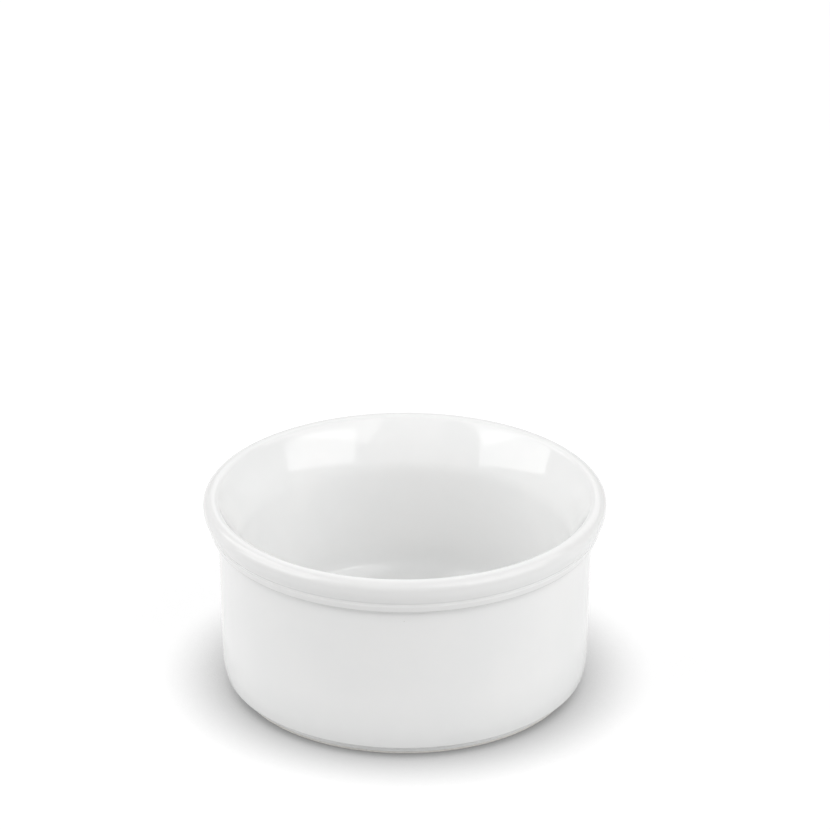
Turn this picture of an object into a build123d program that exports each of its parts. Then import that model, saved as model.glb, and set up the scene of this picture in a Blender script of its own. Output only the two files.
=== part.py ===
from build123d import *
import os
from math import cos, radians, sin, tan

# A round ramekin of glazed hotel porcelain, in millimetres and degrees.
# Z points up, and the origin is on the table under the middle of the base.
# The section is drawn as (radius, height) and turned about Z.

# Overall size
rim_diameter = 90.0
overall_height = 45.0

# Lip: a rounded crest, and a taper that hangs below its widest line
lip_width = 3.1
lip_inner_round = 1.3
lip_outer_round = 1.8
lip_taper_start = 3.0
lip_under_round = 5.0
lip_taper = 25.0
lip_depth = 5.05
lip_bottom_round = 0.6

# Groove and collar bead under the lip
groove_depth = 0.45
groove_roof_fall = 48.0
groove_round = 0.35
groove_height = 0.45
collar_projection = 0.25
collar_top_round = 0.6
collar_height = 1.85
collar_taper = 20.0
collar_bottom_round = 0.6
collar_ledge = 1.35
ledge_round = 0.9

# Wall and bore, and the mouth that opens like a trumpet inside the lip
wall_draft = 1.1
wall_thickness = 4.7
bore_draft = 1.5
mouth_flare = 31.0
mouth_turn_depth = 5.0
mouth_round = 39.0
throat_flare = 17.0
throat_round = 10.0
floor_round = 9.0
floor_thickness = 4.0

# Heel: the wall draws in before it turns under
heel_height = 5.3
heel_taper = 15.0
heel_blend = 14.0
heel_edge_height = 2.15
heel_edge_round = 1.1
heel_under_rise = 6.0

# Foot ring and the recessed base inside it
foot_setback = 2.0
foot_width = 3.0
foot_draft = 5.0
foot_edge_round = 0.5
foot_corner_round = 0.7
recess_height = 1.4

# Glaze: a glassy coat all over, wiped off the foot ring before firing
glaze_thickness = 0.2
wiped_height = 0.6
smallest_clay_round = 0.8

# How much of a flank the rounds at its two ends may take up together
rounding_share = 0.98

rim_radius = rim_diameter / 2
floor_height = recess_height + floor_thickness
up = Vector(0, 0, 1)


def rising(point, lean):
    """A flank that runs up through a point and leans outwards as it rises."""
    return point, Vector(sin(radians(lean)), cos(radians(lean)))


def falling(point, lean):
    """The same leaning flank, run downwards."""
    return point, Vector(-sin(radians(lean)), -cos(radians(lean)))


def outward(point, fall):
    """A flank that runs away from the axis and falls by an angle."""
    return point, Vector(cos(radians(fall)), -sin(radians(fall)))


def inward(point, rise):
    """A flank that runs towards the axis and rises by an angle."""
    return point, Vector(-cos(radians(rise)), sin(radians(rise)))


def at_height(flank, height):
    """The point of a leaning flank at a height."""
    point, way = flank
    return point + way * ((height - point.Y) / way.Y)


def at_radius(flank, radius):
    """The point of a flank at a radius."""
    point, way = flank
    return point + way * ((radius - point.X) / way.X)


def crossing(flank, other):
    """The corner where two flanks meet."""
    point, way = flank
    other_point, other_way = other
    along = (other_point - point).cross(other_way).Z / way.cross(other_way).Z
    return point + way * along


def ramekin_flanks():
    """The straight flanks of the section in order, each with the round that follows it.

    They run from the middle of the floor up the inside, over the lip, down the
    outside and under the foot to the middle of the base, with the clay on the right.
    """
    crest = outward(Vector(0, overall_height), 0)
    widest = falling(Vector(rim_radius, overall_height), 0)
    taper = falling(at_height(widest, overall_height - lip_taper_start), lip_taper)

    lip_bottom = at_height(taper, overall_height - lip_depth)
    groove_roof = inward(lip_bottom, -groove_roof_fall)
    groove_bottom = at_radius(groove_roof, lip_bottom.X - groove_depth)
    collar_top = groove_bottom + Vector(collar_projection, -groove_height)
    groove_floor = groove_bottom, (collar_top - groove_bottom).normalized()

    collar = falling(collar_top, collar_taper)
    collar_bottom = at_height(collar, collar_top.Y - collar_height)
    ledge = inward(collar_bottom, 0)
    wall_top = at_radius(ledge, collar_bottom.X - collar_ledge)
    wall = falling(wall_top, wall_draft)

    bore = rising(wall_top - Vector(wall_thickness, 0), bore_draft)
    mouth = rising(Vector(rim_radius - lip_width, overall_height), mouth_flare)
    throat = rising(at_height(mouth, overall_height - mouth_turn_depth), throat_flare)
    floor = outward(Vector(0, floor_height), 0)

    heel = falling(at_height(wall, heel_height), heel_taper)
    heel_edge = at_height(heel, heel_edge_height)
    heel_under = inward(heel_edge, heel_under_rise)
    foot_outside = falling(at_radius(heel_under, heel_edge.X - foot_setback), foot_draft)
    foot_edge = at_height(foot_outside, 0)
    standing = inward(foot_edge, 0)
    foot_inside = rising(foot_edge - Vector(foot_width, 0), -foot_draft)
    recess = inward(Vector(0, recess_height), 0)

    return [
        (floor, floor_round),
        (bore, throat_round),
        (throat, mouth_round),
        (mouth, lip_inner_round),
        (crest, lip_outer_round),
        (widest, lip_under_round),
        (taper, lip_bottom_round),
        (groove_roof, groove_round),
        (groove_floor, collar_top_round),
        (collar, collar_bottom_round),
        (ledge, ledge_round),
        (wall, heel_blend),
        (heel, heel_edge_round),
        (heel_under, foot_corner_round),
        (foot_outside, foot_edge_round),
        (standing, foot_edge_round),
        (foot_inside, foot_corner_round),
        (recess, 0),
    ]


def section(depth):
    """The section as a face, with its outline moved into the clay by a depth.

    Under the glaze the small rounds are left sharp, because the glaze makes them.
    The larger outer rounds get tighter by the depth, and the inner ones keep their
    size, so the glaze over them is thicker, as it is where glaze pools.
    """
    flanks = []
    for (point, way), _ in ramekin_flanks():
        flanks.append((point + Vector(way.Y, -way.X) * depth, way))
    rounds = [size for _, size in ramekin_flanks()][:-1]

    corners = [crossing(flank, after) for flank, after in zip(flanks, flanks[1:])]
    reaches = []
    for (_, way), (_, next_way), size in zip(flanks, flanks[1:], rounds):
        turn = way.get_signed_angle(next_way, up)
        if depth > 0 and size < smallest_clay_round:
            size = 0
        elif turn < 0:
            size = size - depth
        reaches.append(size * tan(radians(abs(turn) / 2)))

    # Rounds that meet on a short flank are drawn in until both fit on it
    start = Vector(0, flanks[0][0].Y)
    end = Vector(0, flanks[-1][0].Y)
    stops = [start] + corners + [end]
    eases = []
    for stop, next_stop, reach, next_reach in zip(stops, stops[1:], [0] + reaches, reaches + [0]):
        room = rounding_share * (next_stop - stop).length
        eases.append(room / max(room, reach + next_reach))

    edges = []
    last = start
    for index, corner in enumerate(corners):
        reach = reaches[index] * min(eases[index], eases[index + 1])
        way, next_way = flanks[index][1], flanks[index + 1][1]
        arc_start = corner - way * reach
        arc_end = corner + next_way * reach
        edges.append(Line(last, arc_start))
        if reach > 0:
            edges.append(TangentArc(arc_start, arc_end, tangent=way))
        last = arc_end
    edges.append(Line(last, end))
    edges.append(Line(end, start))
    return make_face(edges)


def turned(profile):
    """A solid of revolution from a face drawn as (radius, height)."""
    return revolve(Plane.XZ * profile, Axis.Z)


# The whole section, and the clay under the glaze with its bare foot ring
glazed_section = section(0)
foot_strip = Rectangle(rim_radius, wiped_height, align=(Align.MIN, Align.MIN))
clay_section = section(glaze_thickness) + (glazed_section & foot_strip)

# What is left between them is the glaze: the coat, and the patch inside the foot
glaze_sections = (glazed_section - clay_section).faces().sort_by(SortBy.AREA)

pieces = {
    "porcelain_body": turned(clay_section),
    "glaze_coat": turned(glaze_sections[-1]),
    "glaze_underside": turned(glaze_sections[0]),
}

os.makedirs("parts", exist_ok=True)
for name, piece in pieces.items():
    piece.label = name
    export_step(piece, f"parts/{name}.step")
    print(name, "volume", round(piece.volume, 1), "mm3")
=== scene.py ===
from math import ceil, cos, pi, radians, sin

import bmesh
import bpy
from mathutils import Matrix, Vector


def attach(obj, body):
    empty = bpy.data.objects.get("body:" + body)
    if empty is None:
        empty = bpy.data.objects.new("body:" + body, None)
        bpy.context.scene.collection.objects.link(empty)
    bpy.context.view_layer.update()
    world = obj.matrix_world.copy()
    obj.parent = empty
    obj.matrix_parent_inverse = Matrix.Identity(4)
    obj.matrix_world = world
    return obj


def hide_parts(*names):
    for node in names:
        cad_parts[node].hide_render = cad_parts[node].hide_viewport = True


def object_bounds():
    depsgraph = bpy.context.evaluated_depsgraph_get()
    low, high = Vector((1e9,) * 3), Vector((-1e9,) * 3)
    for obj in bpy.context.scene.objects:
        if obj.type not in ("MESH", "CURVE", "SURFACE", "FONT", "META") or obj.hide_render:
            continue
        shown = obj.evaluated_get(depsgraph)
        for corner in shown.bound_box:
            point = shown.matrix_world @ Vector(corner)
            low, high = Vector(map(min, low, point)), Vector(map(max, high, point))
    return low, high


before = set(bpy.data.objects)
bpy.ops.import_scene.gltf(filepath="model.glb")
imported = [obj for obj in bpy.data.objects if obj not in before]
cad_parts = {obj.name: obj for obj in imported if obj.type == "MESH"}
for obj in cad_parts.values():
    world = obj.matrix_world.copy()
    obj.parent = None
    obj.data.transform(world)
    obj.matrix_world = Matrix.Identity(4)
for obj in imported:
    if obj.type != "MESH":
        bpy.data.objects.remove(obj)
cadLow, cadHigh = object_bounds()
mm = 0.001
print("frame loaded:", ", ".join(sorted(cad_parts)))


# Node trees, for Geometry Nodes and for materials alike

class Signal:  # a socket's value, so that node maths reads as Python
    def __init__(self, bench, socket):
        self.bench = bench
        self.socket = socket

    def __add__(self, other):
        return self.bench.maths("ADD", self, other)

    def __sub__(self, other):
        return self.bench.maths("SUBTRACT", self, other)

    def __rsub__(self, other):
        return self.bench.maths("SUBTRACT", other, self)

    def __mul__(self, other):
        return self.bench.maths("MULTIPLY", self, other)

    def __rmul__(self, other):
        return self.bench.maths("MULTIPLY", other, self)

    def __truediv__(self, other):
        return self.bench.maths("DIVIDE", self, other)


class Bench:  # one node tree being wired up
    def __init__(self, tree):
        self.tree = tree

    def plug(self, socket, value):
        if isinstance(value, Signal):
            self.tree.links.new(value.socket, socket)
        elif value is not None:
            socket.default_value = value

    def pick(self, sockets, key):  # by place, by name or by identifier, skipping what is switched off
        if isinstance(key, int):
            return sockets[key]
        for socket in sockets:
            if socket.enabled and key in (socket.name, socket.identifier):
                return socket
        raise KeyError(f"no socket {key} among {[s.name for s in sockets]}")

    def node(self, kind, settings=None, sockets=None, take=0):
        made = self.tree.nodes.new(kind)
        for name, value in (settings or {}).items():
            setattr(made, name, value)
        for key, value in (sockets or {}).items():
            self.plug(self.pick(made.inputs, key), value)
        return Signal(self, self.pick(made.outputs, take))

    def split(self, value):  # a vector's three parts
        parts = self.tree.nodes.new("ShaderNodeSeparateXYZ")
        self.plug(parts.inputs[0], value)
        return [Signal(self, socket) for socket in parts.outputs]

    def maths(self, operation, first, second=None):
        values = {i: v for i, v in enumerate((first, second)) if v is not None}
        return self.node("ShaderNodeMath", {"operation": operation}, values)

    def vector(self, operation, first, second=None, scale=None, take=0):
        values = {i: v for i, v in enumerate((first, second)) if v is not None}
        if scale is not None:
            values["Scale"] = scale
        return self.node("ShaderNodeVectorMath", {"operation": operation}, values, take)

    def blend(self, factor, first, second):  # two colours
        return self.node("ShaderNodeMix", {"data_type": "RGBA"},
                         {"Factor_Float": factor, "A_Color": first, "B_Color": second}, "Result_Color")

    def ease(self, value, low, high, toLow=0.0, toHigh=1.0):  # a smooth step between two values
        return self.node("ShaderNodeMapRange", {"interpolation_type": "SMOOTHSTEP"},
                         {"Value": value, "From Min": low, "From Max": high,
                          "To Min": toLow, "To Max": toHigh})


# The potter's template: the section that the whole dish is turned from, in millimetres and degrees

template = {
    "rimRadius": max(cadHigh.x, cadHigh.y) / mm,
    "height": cadHigh.z / mm,
    "lipWidth": 3.1,
    "lipInnerRound": 1.3,
    "lipOuterRound": 1.8,
    "lipTaperStart": 3.0,
    "lipUnderRound": 5.0,
    "lipTaper": 25.0,
    "lipDepth": 5.05,
    "lipBottomRound": 0.6,
    "grooveDepth": 0.45,
    "grooveRoofFall": 48.0,
    "grooveRound": 0.35,
    "grooveHeight": 0.45,
    "collarProjection": 0.25,
    "collarTopRound": 0.6,
    "collarHeight": 1.85,
    "collarTaper": 20.0,
    "collarBottomRound": 0.6,
    "collarLedge": 1.35,
    "ledgeRound": 0.9,
    "wallDraft": 1.1,
    "wallThickness": 4.7,
    "boreDraft": 1.5,
    "mouthFlare": 31.0,
    "mouthTurnDepth": 5.0,
    "mouthRound": 39.0,
    "throatFlare": 17.0,
    "throatRound": 10.0,
    "floorRound": 9.0,
    "floorThickness": 4.0,
    "heelHeight": 5.3,
    "heelTaper": 15.0,
    "heelBlend": 14.0,
    "heelEdgeHeight": 2.15,
    "heelEdgeRound": 1.1,
    "heelUnderRise": 6.0,
    "footSetback": 2.0,
    "footWidth": 3.0,
    "footDraft": 5.0,
    "footEdgeRound": 0.5,
    "footCornerRound": 0.7,
    "recessHeight": 1.4,
    "glazeThickness": 0.2,
    "smallestClayRound": 0.8,  # the glaze makes the rounds below this, over sharp clay
    "wipedHeight": 0.6,
    "wipedRound": 0.09,  # the glaze draws back to a rounded edge where the foot was wiped
}


def rising(point, lean):  # a flank is a point and a way; this one runs up and leans outwards
    return point, Vector((sin(radians(lean)), cos(radians(lean))))


def falling(point, lean):  # the same leaning flank, run downwards
    return point, Vector((-sin(radians(lean)), -cos(radians(lean))))


def outward(point, fall):
    return point, Vector((cos(radians(fall)), -sin(radians(fall))))


def inward(point, rise):
    return point, Vector((-cos(radians(rise)), sin(radians(rise))))


def atHeight(flank, height):
    point, way = flank
    return point + way * ((height - point.y) / way.y)


def atRadius(flank, radius):
    point, way = flank
    return point + way * ((radius - point.x) / way.x)


def crossing(flank, other):
    point, way = flank
    otherPoint, otherWay = other
    return point + way * ((otherPoint - point).cross(otherWay) / way.cross(otherWay))


def templateFlanks(t):  # name: flank and the round that follows it, with the clay on the right
    crest = outward(Vector((0, t["height"])), 0)
    widest = falling(Vector((t["rimRadius"], t["height"])), 0)
    taper = falling(atHeight(widest, t["height"] - t["lipTaperStart"]), t["lipTaper"])
    lipBottom = atHeight(taper, t["height"] - t["lipDepth"])
    grooveRoof = inward(lipBottom, -t["grooveRoofFall"])
    grooveBottom = atRadius(grooveRoof, lipBottom.x - t["grooveDepth"])
    collarTop = grooveBottom + Vector((t["collarProjection"], -t["grooveHeight"]))
    grooveFloor = grooveBottom, (collarTop - grooveBottom).normalized()
    collar = falling(collarTop, t["collarTaper"])
    collarBottom = atHeight(collar, collarTop.y - t["collarHeight"])
    ledge = inward(collarBottom, 0)
    wallTop = atRadius(ledge, collarBottom.x - t["collarLedge"])
    wall = falling(wallTop, t["wallDraft"])
    bore = rising(wallTop - Vector((t["wallThickness"], 0)), t["boreDraft"])
    mouth = rising(Vector((t["rimRadius"] - t["lipWidth"], t["height"])), t["mouthFlare"])
    throat = rising(atHeight(mouth, t["height"] - t["mouthTurnDepth"]), t["throatFlare"])
    heel = falling(atHeight(wall, t["heelHeight"]), t["heelTaper"])
    heelEdge = atHeight(heel, t["heelEdgeHeight"])
    heelUnder = inward(heelEdge, t["heelUnderRise"])
    footOutside = falling(atRadius(heelUnder, heelEdge.x - t["footSetback"]), t["footDraft"])
    footEdge = atHeight(footOutside, 0)
    return {
        "floor": (outward(Vector((0, t["recessHeight"] + t["floorThickness"])), 0), t["floorRound"]),
        "bore": (bore, t["throatRound"]),
        "throat": (throat, t["mouthRound"]),
        "mouth": (mouth, t["lipInnerRound"]),
        "crest": (crest, t["lipOuterRound"]),
        "widest": (widest, t["lipUnderRound"]),
        "taper": (taper, t["lipBottomRound"]),
        "grooveRoof": (grooveRoof, t["grooveRound"]),
        "grooveFloor": (grooveFloor, t["collarTopRound"]),
        "collar": (collar, t["collarBottomRound"]),
        "ledge": (ledge, t["ledgeRound"]),
        "wall": (wall, t["heelBlend"]),
        "heel": (heel, t["heelEdgeRound"]),
        "heelUnder": (heelUnder, t["footCornerRound"]),
        "footOutside": (footOutside, t["footEdgeRound"]),
        "standing": (inward(footEdge, 0), t["footEdgeRound"]),
        "footInside": (rising(footEdge - Vector((t["footWidth"], 0)), -t["footDraft"]), t["footCornerRound"]),
        "recess": (inward(Vector((0, t["recessHeight"])), 0), 0),
    }


flanks = templateFlanks(template)
upTheInside = ["floor", "bore", "throat", "mouth", "crest"]
downTheOutside = ["widest", "taper", "grooveRoof", "grooveFloor", "collar", "ledge", "wall", "heel",
                  "heelUnder", "footOutside"]
wipeLine = inward(Vector((0, template["wipedHeight"])), 0)


def outside(names):  # flanks of the finished surface, with the rounds that follow them
    return [(flanks[name][0], flanks[name][1], 1) for name in names]


def underGlaze(names, backwards=False):  # the same flanks at the clay, a glaze thickness further in
    depth = template["glazeThickness"]
    moved = []
    for name in names:
        (point, way), rounding = flanks[name]
        nextNames = list(flanks)[list(flanks).index(name) + 1:][:1]
        turn = way.cross(flanks[nextNames[0]][0][1]) if nextNames else 0
        if rounding < template["smallestClayRound"]:
            rounding = 0
        elif turn < 0:  # an outer round is tighter in the clay
            rounding = rounding - depth
        moved.append([(point + Vector((way.y, -way.x)) * depth, way), rounding, 0])
    if backwards:  # a round stands between the same two flanks, so it moves to the other one's place
        rounds = [entry[1] for entry in moved]
        moved.reverse()
        for entry, rounding in zip(moved, rounds[-2::-1] + [0]):
            entry[1] = rounding
    return [tuple(entry) for entry in moved]


def lastRound(entries, rounding):  # what follows the last flank of a stretch
    return entries[:-1] + [(entries[-1][0], rounding, entries[-1][2])]


def cornerLine(name, stretches):
    # One mesh line of the section's corners. Each carries its round, its arc's steps and whether it shows
    entries = [entry for stretch in stretches for entry in stretch]
    bends = {"stepAngle": 7.5, "longest": 1.2, "fewest": 3, "straight": 1e-6}
    places = [Vector((0, entries[0][0][0].y))]
    rounds, steps, shows = [0], [1], [entries[0][2]]
    for (flank, rounding, shown), (nextFlank, _, nextShown) in zip(entries, entries[1:]):
        turn = abs(flank[1].angle(nextFlank[1]))
        if abs(flank[1].cross(nextFlank[1])) < bends["straight"]:
            continue
        places.append(crossing(flank, nextFlank))
        rounds.append(rounding * mm)
        least = bends["fewest"] if rounding > 0 else 1
        steps.append(max(least, ceil(turn / radians(bends["stepAngle"])) if rounding > 0 else 1,
                         ceil(turn * rounding / bends["longest"])))
        shows.append(min(shown, nextShown))
    places.append(Vector((0, entries[-1][0][0].y)))
    rounds.append(0)
    steps.append(1)
    shows.append(entries[-1][2])
    mesh = bpy.data.meshes.new(name)
    links = [(i, i + 1) for i in range(len(places) - 1)]
    mesh.from_pydata([(p.x * mm, 0, p.y * mm) for p in places], links, [])
    for key, kind, values in (("round", "FLOAT", rounds), ("steps", "INT", steps), ("shown", "FLOAT", shows)):
        mesh.attributes.new(key, kind, "POINT").data.foreach_set("value", values)
    return bpy.data.objects.new(name, mesh)


# Geometry Nodes that turn a corner line into a closed shell of revolution

lathe = {
    "coarsest": 4,  # the hidden side takes steps this many times longer
    "weld": 0.002,  # mm
    "waves": ((9, 0), (140, 1)),  # lumps in a metre and their detail, for the warp and for the ripple
}


def turningTree():
    tree = bpy.data.node_groups.new("turnedShell", "GeometryNodeTree")
    tree.is_modifier = True
    tree.interface.new_socket("Geometry", in_out="INPUT", socket_type="NodeSocketGeometry")
    for name, kind in (("Turns", "NodeSocketInt"), ("Step", "NodeSocketFloat"), ("Warp", "NodeSocketFloat"),
                       ("Ripple", "NodeSocketFloat"), ("Seed", "NodeSocketFloat"),
                       ("Finish", "NodeSocketMaterial")):
        tree.interface.new_socket(name, in_out="INPUT", socket_type=kind)
    tree.interface.new_socket("Geometry", in_out="OUTPUT", socket_type="NodeSocketGeometry")
    g = Bench(tree)
    given = tree.nodes.new("NodeGroupInput")
    ask = lambda name: Signal(g, given.outputs[name])
    stored = "GeometryNodeInputNamedAttribute"
    named = lambda name, kind="FLOAT": g.node(stored, {"data_type": kind}, {"Name": name}, "Attribute")

    # The section: corners, then rounds, then even steps along the straight stretches
    line = g.node("GeometryNodeMeshToCurve", {}, {"Mesh": ask("Geometry")})
    line = g.node("GeometryNodeFilletCurve", {"mode": "POLY"},
                  {"Curve": line, "Count": named("steps", "INT"), "Radius": named("round")})
    place = g.node("GeometryNodeInputPosition")
    index = g.node("GeometryNodeInputIndex")
    following = g.node("GeometryNodeFieldAtIndex", {"data_type": "FLOAT_VECTOR"},
                       {"Index": index + 1, "Value": place})
    reach = g.vector("DISTANCE", place, following, take="Value")
    coarse = lathe["coarsest"] - (lathe["coarsest"] - 1) * named("shown")
    cuts = g.maths("FLOOR", reach / (coarse * ask("Step")))
    line = g.node("GeometryNodeSubdivideCurve", {}, {"Curve": line, "Cuts": cuts})

    # The lathe: a grid with one column for each turn, whose points go round the axis
    rows = g.node("GeometryNodeAttributeDomainSize", {"component": "CURVE"},
                  {"Geometry": line}, "Point Count")
    sheet = g.node("GeometryNodeMeshGrid", {}, {"Vertices X": ask("Turns") + 1, "Vertices Y": rows})
    column = g.maths("FLOOR", index / rows)
    row = index - column * rows
    onLine = g.node("GeometryNodeSampleIndex", {"data_type": "FLOAT_VECTOR", "domain": "POINT"},
                    {"Geometry": line, "Value": place, "Index": row})
    shown = g.node("GeometryNodeSampleIndex", {"data_type": "FLOAT", "domain": "POINT"},
                   {"Geometry": line, "Value": named("shown"), "Index": row})
    angle = column / ask("Turns") * (2 * pi)
    radius, _, height = g.split(onLine)
    around = g.node("ShaderNodeCombineXYZ", {}, {"X": radius * g.maths("COSINE", angle),
                                                 "Y": radius * g.maths("SINE", angle), "Z": height})
    body = g.node("GeometryNodeSetPosition", {}, {"Geometry": sheet, "Position": around})
    body = g.node("GeometryNodeStoreNamedAttribute", {"data_type": "FLOAT", "domain": "POINT"},
                  {"Geometry": body, "Name": "shown", "Value": shown})
    body = g.node("GeometryNodeMergeByDistance", {}, {"Geometry": body, "Distance": lathe["weld"] * mm})
    body = g.node("GeometryNodeFlipFaces", {}, {"Mesh": body})

    # The kiln: the clay warps a little, and the melted glaze lies in slow ripples, always inwards
    waves = []
    for size, detail in lathe["waves"]:
        waves.append(g.node("ShaderNodeTexNoise", {"noise_dimensions": "4D"},
                            {"Vector": place, "W": ask("Seed"), "Scale": size, "Detail": detail}))
    sink = (ask("Warp") * waves[0] + ask("Ripple") * waves[1]) * named("shown")
    normal = g.node("GeometryNodeInputNormal")
    shift = g.vector("SCALE", normal, scale=0 - sink)
    body = g.node("GeometryNodeSetPosition", {}, {"Geometry": body, "Offset": shift})
    body = g.node("GeometryNodeRemoveAttribute", {}, {"Geometry": body, "Name": "shown"})
    body = g.node("GeometryNodeSetShadeSmooth", {}, {"Geometry": body})
    body = g.node("GeometryNodeRealizeInstances", {}, {"Geometry": body})
    body = g.node("GeometryNodeSetMaterial", {}, {"Geometry": body, "Material": ask("Finish")})
    result = tree.nodes.new("NodeGroupOutput")
    g.plug(result.inputs["Geometry"], body)
    return tree


def turned(name, line, tree, look, finish):
    bpy.context.scene.collection.objects.link(line)
    modifier = line.modifiers.new("lathe", "NODES")
    modifier.node_group = tree
    values = {"Turns": look["turns"], "Step": look["step"] * mm, "Warp": look["warp"] * mm,
              "Ripple": look["ripple"] * mm, "Seed": look["seed"], "Finish": finish}
    for socket in tree.interface.items_tree:
        if socket.name in values:
            modifier[socket.identifier] = values[socket.name]
    evaluated = line.evaluated_get(bpy.context.evaluated_depsgraph_get())
    mesh = bpy.data.meshes.new_from_object(evaluated)
    line.modifiers.remove(modifier)
    bpy.data.objects.remove(line)
    work = bmesh.new()
    work.from_mesh(mesh)
    triangles = sum(len(face.verts) - 2 for face in work.faces)
    print(name, "triangles", triangles, "volume", round(work.calc_volume(signed=True) / mm ** 3, 1), "mm3,",
          "open edges", sum(1 for edge in work.edges if not edge.is_manifold))
    work.free()
    mesh.name = name
    piece = bpy.data.objects.new(name, mesh)
    bpy.context.scene.collection.objects.link(piece)
    return piece


# Finishes

def emptyMaterial(name):
    material = bpy.data.materials.new(name)
    material.use_nodes = True
    material.node_tree.nodes.clear()
    return material, Bench(material.node_tree)


def noise(m, where, size, detail, seed):  # size is the length of one lump in millimetres
    return m.node("ShaderNodeTexNoise", {"noise_dimensions": "4D"},
                  {"Vector": where, "W": seed, "Scale": 1 / (size * mm), "Detail": detail})


def finished(m, shader):
    result = m.tree.nodes.new("ShaderNodeOutputMaterial")
    m.plug(result.inputs["Surface"], shader)


def corner(name):  # where a flank of the finished surface meets the one after it
    names = list(flanks)
    return crossing(flanks[name][0], flanks[names[names.index(name) + 1]][0])


def nearRing(m, where, name, reach):  # one along the ring of a corner, and nothing beyond its reach
    ring = corner(name) * mm
    x, y, z = m.split(where)
    radius = m.maths("SQRT", x * x + y * y)
    apart = m.node("ShaderNodeCombineXYZ", {}, {"X": radius - ring.x, "Y": z - ring.y})
    return m.ease(m.vector("LENGTH", apart, take="Value"), 0, reach * mm, 1, 0)


def rings(m, where, reaches):  # several such rings as one mask
    mask = 0
    for name, reach in reaches.items():
        ring = nearRing(m, where, name, reach)
        mask = ring if mask == 0 else m.maths("MAXIMUM", mask, ring)
    return mask


glazeFinish = {
    "white": (0.878, 0.878, 0.873, 1),
    "milky": (0.862, 0.865, 0.862, 1),
    "cloud": 17,  # mm
    "cloudSpread": (0.35, 0.65),
    "drift": 4,  # mm
    "coats": {  # each lies along the rings of some corners, by reach in mm, and drift thins it to its least
        "drainedAndLipShade": {  # darker around the lip: painted shade on the lip's face, and partly the melt that ran down from the lip so the clay shows through there
            "colour": (0.792, 0.79, 0.785, 1),
            "rings": {"crest": 3.6},
            "drift": (0.2, 0.7),
            "least": 0.8,
        },
        "pooledAndCornerShade": {  # where it gathered it is thick, and a little green; the darker colour is also painted shade in the dish's inner bottom corner, below the collar's ledge and under the heel
            "colour": (0.80, 0.806, 0.802, 1),
            "rings": {"floor": 11.0, "ledge": 1.9, "heelUnder": 1.2},
            "drift": (0.2, 0.6),
            "least": 0.75,
        },
        "thinAndSeamShade": {  # it drew back from the sharpest edges; at the collar's lower edge the darker colour is painted shade, the dark line under the collar
            "colour": (0.74, 0.735, 0.722, 1),
            "rings": {"collar": 0.75, "heel": 0.8},
            "drift": (0.3, 0.7),
            "least": 0.7,
        },
    },
    "peel": 1.7,  # mm
    "peelDepth": 0.0022,  # mm
    "speck": (0.42, 0.37, 0.31, 1),
    "speckCell": 7.5,  # mm
    "speckSize": 0.16,  # mm
    "speckCore": 0.4,  # the share of a speck that is evenly dark
    "speckChance": (0.86, 0.9),
    "speckShare": 0.55,
    "gloss": (0.06, 0.095),  # roughness, from the clearest places to the dullest
    "dulling": (0.3, 0.75),
    "thinDulls": 0.2,
    "glass": 1.5,  # refractive index
    "seed": 3.0,
}


def glazeMaterial():
    look = glazeFinish
    material, m = emptyMaterial("meltedWhiteGlaze")
    where = m.node("ShaderNodeTexCoord", take="Object")
    cloud = noise(m, where, look["cloud"], 3.0, look["seed"])
    drift = noise(m, where, look["drift"], 2.0, look["seed"] + 1)

    # Colour: a faint cloud, then the coats that lie along the corners, partly painted shade on the lip, in
    # the corners and under the collar, and rare iron specks
    shade = m.blend(m.ease(cloud, *look["cloudSpread"]), look["white"], look["milky"])
    masks = {}
    for name, coat in look["coats"].items():
        masks[name] = rings(m, where, coat["rings"])
        share = masks[name] * m.ease(drift, *coat["drift"], coat["least"], 1)
        shade = m.blend(share, shade, coat["colour"])
    cell = {"voronoi_dimensions": "3D"}
    spots = {"Vector": where, "Scale": 1 / (look["speckCell"] * mm)}
    near = m.node("ShaderNodeTexVoronoi", cell, spots, "Distance")
    draw = m.node("ShaderNodeTexVoronoi", cell, spots, "Color")
    chance = m.ease(m.vector("DOT_PRODUCT", draw, (1, 0, 0), take="Value"), *look["speckChance"])
    size = look["speckSize"] / look["speckCell"]
    speck = m.ease(near, size * look["speckCore"], size, 1, 0) * chance
    shade = m.blend(speck * look["speckShare"], shade, look["speck"])

    peel = noise(m, where, look["peel"], 1.0, look["seed"] + 2)
    normal = m.node("ShaderNodeBump", {}, {
        "Height": peel, "Distance": look["peelDepth"] * mm, "Strength": 1.0})
    dull = m.ease(drift + masks["thinAndSeamShade"] * look["thinDulls"], *look["dulling"], *look["gloss"])
    shader = m.node("ShaderNodeBsdfPrincipled", {}, {
        "Base Color": shade, "Roughness": dull, "Normal": normal, "IOR": look["glass"]})
    finished(m, shader)
    return material


biscuitFinish = {
    "clay": (0.80, 0.785, 0.75, 1),
    "grain": (0.72, 0.70, 0.66, 1),
    "smudge": (0.55, 0.53, 0.50, 1),  # rubbed off on shelves and other dishes
    "grainSize": 0.3,  # mm
    "grainDepth": 0.02,  # mm
    "grainSpread": (0.35, 0.7),
    "smudgeSize": 5,  # mm
    "smudgeSpread": (0.45, 0.75),
    "smudgeShare": 0.5,
    "standing": 0.25,  # mm, the height up to which the ring is rubbed
    "gloss": (0.55, 0.8),  # roughness, rubbed and bare
    "seed": 11.0,
}


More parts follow.
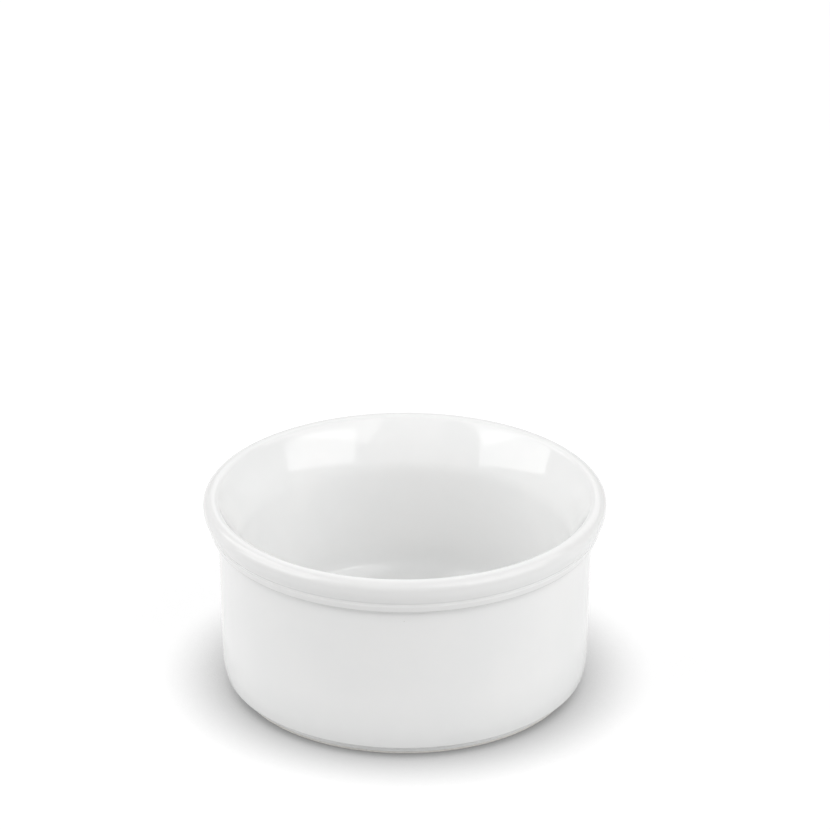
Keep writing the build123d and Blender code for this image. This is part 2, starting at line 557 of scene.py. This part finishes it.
def biscuitMaterial():
    look = biscuitFinish
    material, m = emptyMaterial("bareBiscuit")
    where = m.node("ShaderNodeTexCoord", take="Object")
    grain = noise(m, where, look["grainSize"], 4.0, look["seed"])
    smudge = noise(m, where, look["smudgeSize"], 3.0, look["seed"] + 1)
    height = m.split(where)[2]
    rubbed = m.ease(height, 0, look["standing"] * mm, 1, 0) * m.ease(smudge, *look["smudgeSpread"])
    shade = m.blend(m.ease(grain, *look["grainSpread"]), look["clay"], look["grain"])
    shade = m.blend(rubbed * look["smudgeShare"], shade, look["smudge"])
    normal = m.node("ShaderNodeBump", {}, {
        "Height": grain, "Distance": look["grainDepth"] * mm, "Strength": 1.0})
    smooth, rough = look["gloss"]
    shader = m.node("ShaderNodeBsdfPrincipled", {}, {
        "Base Color": shade, "Roughness": m.ease(rubbed, 0, 1, rough, smooth), "Normal": normal})
    finished(m, shader)
    return material


# The three pieces

turning = turningTree()

clayBody = {"turns": 256, "step": 1.6, "warp": 0, "ripple": 0, "seed": 1.0}
glazeCoat = {"turns": 256, "step": 1.2, "warp": 0.05, "ripple": 0.012, "seed": 5.0}
footGlaze = {"turns": 256, "step": 1.6, "warp": 0.03, "ripple": 0.012, "seed": 8.0}

coatOutline = [
    lastRound(outside(upTheInside + downTheOutside), template["wipedRound"]),
    [(wipeLine, 0, 1)],
    underGlaze(upTheInside + downTheOutside, backwards=True),
]
clayOutline = [
    lastRound(underGlaze(upTheInside + downTheOutside), 0),
    [(wipeLine, 0, 1)],
    lastRound(outside(["footOutside", "standing", "footInside"]), 0),
    [(wipeLine, 0, 1)],
    underGlaze(["footInside", "recess"]),
]
patchOutline = [
    lastRound(underGlaze(["recess"]), 0),
    [(underGlaze(["footInside"])[0][0], 0, 0)],
    [(wipeLine, template["wipedRound"], 1)],
    outside(["footInside", "recess"]),
]

glaze = glazeMaterial()
biscuit = biscuitMaterial()
for name, outline, look, finish, node, slot in (
        ("porcelainBody", clayOutline, clayBody, biscuit, "porcelain_body", "porcelain"),
        ("glazeCoat", coatOutline, glazeCoat, glaze, "glaze_coat", "glaze"),
        ("footGlaze", patchOutline, footGlaze, glaze, "glaze_underside", "glaze")):
    piece = turned(name, cornerLine(name + "Line", outline), turning, look, finish)
    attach(piece, "root")
    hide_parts(node)


# The studio: a pale floor, two softboxes, four banks of light above them, and the camera

studio = {
    "floorSize": 6.0,
    "floorBounce": (0.74, 0.74, 0.74, 1),  # the paper's colour to the light that it throws back
    "floorBounceShaded": (0.63, 0.63, 0.63, 1),  # and on the camera's side, darker: painted shade in the light that the paper throws back there
    "bounceShadeSide": -15.0,  # azimuth from the camera
    "bounceShadeEdge": (0.02, 0.1),  # m, from the middle of the dish
    "floorSeen": (0.3, 0.3, 0.3),  # what the lamps add to the paper's white where it is looked at
    "floorWhite": (0.755, 0.755, 0.755),
    "floorShade": (0.14, 0.14, 0.14, 1),  # the share left where the dish hides all of the room
    "shadeReach": 16,  # mm
    "shadeRays": 8,
    "sweep": (0.3, 0.8),  # m, from the dish to where the paper is white without the lamps
    "fill": 0.345,
    "boxes": {  # azimuth from the camera and distance of a box's near and far upright, and its heights
        "rightSoftbox": {"near": (33.5, 0.94), "far": (82.5, 1.45), "heights": (0.19, 0.64), "radiance": 2.2},
        "leftSoftbox": {"near": (-51.0, 1.0), "far": (-102.0, 1.6), "heights": (0.18, 0.64), "radiance": 2.2},
    },
    "banks": {  # azimuth from the camera, elevation, distance, width, height and radiance
        "rightBank": (63.0, 45.0, 1.3, 1.9, 0.8, 1.5),
        "leftBank": (-92.0, 45.0, 1.3, 1.9, 0.8, 1.56),
        "frontBank": (0.0, 44.0, 1.3, 1.2, 0.85, 0.3),
        "backBank": (165.0, 40.0, 1.3, 0.9, 0.6, 0.7),
    },
}


def seenWhite(m):  # one for rays that see the set itself, and none for the rays that light it
    path = m.tree.nodes.new("ShaderNodeLightPath")
    camera, glossy, through = (Signal(m, path.outputs[f"Is {kind} Ray"])
                               for kind in ("Camera", "Glossy", "Transmission"))
    return m.maths("MAXIMUM", m.maths("MAXIMUM", camera, glossy), through)


def layFloor():
    half = studio["floorSize"] / 2
    mesh = bpy.data.meshes.new("paleFloor")
    corners = [(-half, -half, 0), (half, -half, 0), (half, half, 0), (-half, half, 0)]
    mesh.from_pydata(corners, [], [(0, 1, 2, 3)])
    material, m = emptyMaterial("palePaper")
    seen = seenWhite(m)
    black, white = (0, 0, 0, 1), (1, 1, 1, 1)
    where = m.node("ShaderNodeTexCoord", take="Object")
    far = m.ease(m.vector("LENGTH", where, take="Value"), *studio["sweep"])
    clear = m.node("ShaderNodeAmbientOcclusion", {"samples": studio["shadeRays"]},
                   {"Distance": studio["shadeReach"] * mm}, "AO")
    shaded = m.blend(clear, studio["floorShade"], white)
    lit = m.blend(far, m.vector("MULTIPLY", shaded, studio["floorSeen"]), black)
    own = m.blend(far, m.vector("MULTIPLY", shaded, studio["floorWhite"]), white)
    # painted shade: the light that the paper throws back is darker on the camera's side
    ahead = m.vector("DOT_PRODUCT", where, standing(studio["bounceShadeSide"], 1), take="Value")
    thrown = m.blend(m.ease(ahead, *studio["bounceShadeEdge"]), studio["floorBounce"], studio["floorBounceShaded"])
    matt = m.node("ShaderNodeBsdfDiffuse", {}, {"Color": m.blend(seen, thrown, lit)})
    glow = m.node("ShaderNodeEmission", {}, {"Color": m.blend(seen, black, own)})
    finished(m, m.node("ShaderNodeAddShader", {}, {0: matt, 1: glow}))
    mesh.materials.append(material)
    floor = bpy.data.objects.new("paleFloor", mesh)
    bpy.context.scene.collection.objects.link(floor)


def lightWorld():
    world = bpy.data.worlds.new("studio")
    world.use_nodes = True
    world.node_tree.nodes.clear()
    w = Bench(world.node_tree)
    fill = w.node("ShaderNodeBackground", {}, {"Color": (1, 1, 1, 1), "Strength": studio["fill"]})
    white = w.node("ShaderNodeBackground", {}, {"Color": (1, 1, 1, 1), "Strength": 1.0})
    mixed = w.node("ShaderNodeMixShader", {}, {0: seenWhite(w), 1: fill, 2: white})
    result = world.node_tree.nodes.new("ShaderNodeOutputWorld")
    w.plug(result.inputs["Surface"], mixed)
    bpy.context.scene.world = world


def hangLamp(name, centre, aim, width, height, radiance):
    lamp = bpy.data.lights.new(name, "AREA")
    lamp.shape = "RECTANGLE"
    lamp.size = width
    lamp.size_y = height
    lamp.energy = radiance * width * height * pi
    hung = bpy.data.objects.new(name, lamp)
    hung.location = centre
    hung.rotation_euler = (centre - aim).to_track_quat("Z", "Y").to_euler()
    hung.visible_camera = False
    bpy.context.scene.collection.objects.link(hung)


def standing(azimuth, distance):  # where a box's upright stands, by its azimuth from the camera's side
    return Vector((distance * sin(radians(azimuth)), -distance * cos(radians(azimuth)), 0))


def rigLamps():
    for name, box in studio["boxes"].items():
        near, far = standing(*box["near"]), standing(*box["far"])
        low, high = box["heights"]
        middle = (near + far) / 2 + Vector((0, 0, (low + high) / 2))
        across = (far - near).normalized()
        facing = across.cross(Vector((0, 0, 1)))
        if facing.dot(middle) < 0:
            facing = -facing
        hangLamp(name, middle, middle - facing, (far - near).length, high - low, box["radiance"])
    for name, (azimuth, elevation, distance, width, height, radiance) in studio["banks"].items():
        foot = standing(azimuth, distance * cos(radians(elevation)))
        hangLamp(name, foot + Vector((0, 0, distance * sin(radians(elevation)))), Vector((0, 0, 0)),
                 width, height, radiance)


shot = {
    "distance": 1.0,  # m
    "elevation": 26.76,
    "pitch": 24.58,
    "yaw": 0.145,
    "aimHeight": 22.5,  # mm
    "lens": 192.6,
    "sensor": 36,
}


def placeCamera():
    camera = bpy.data.cameras.new("camera")
    camera.sensor_width = shot["sensor"]
    camera.lens = shot["lens"]
    holder = bpy.data.objects.new("camera", camera)
    rise = radians(shot["elevation"])
    height = shot["distance"] * sin(rise) + shot["aimHeight"] * mm
    holder.location = (0, -shot["distance"] * cos(rise), height)
    holder.rotation_euler = (radians(90 - shot["pitch"]), 0, -radians(shot["yaw"]))
    bpy.context.scene.collection.objects.link(holder)
    bpy.context.scene.camera = holder


layFloor()
lightWorld()
rigLamps()
placeCamera()
bpy.context.scene.view_settings.view_transform = "Standard"
print("studio set")
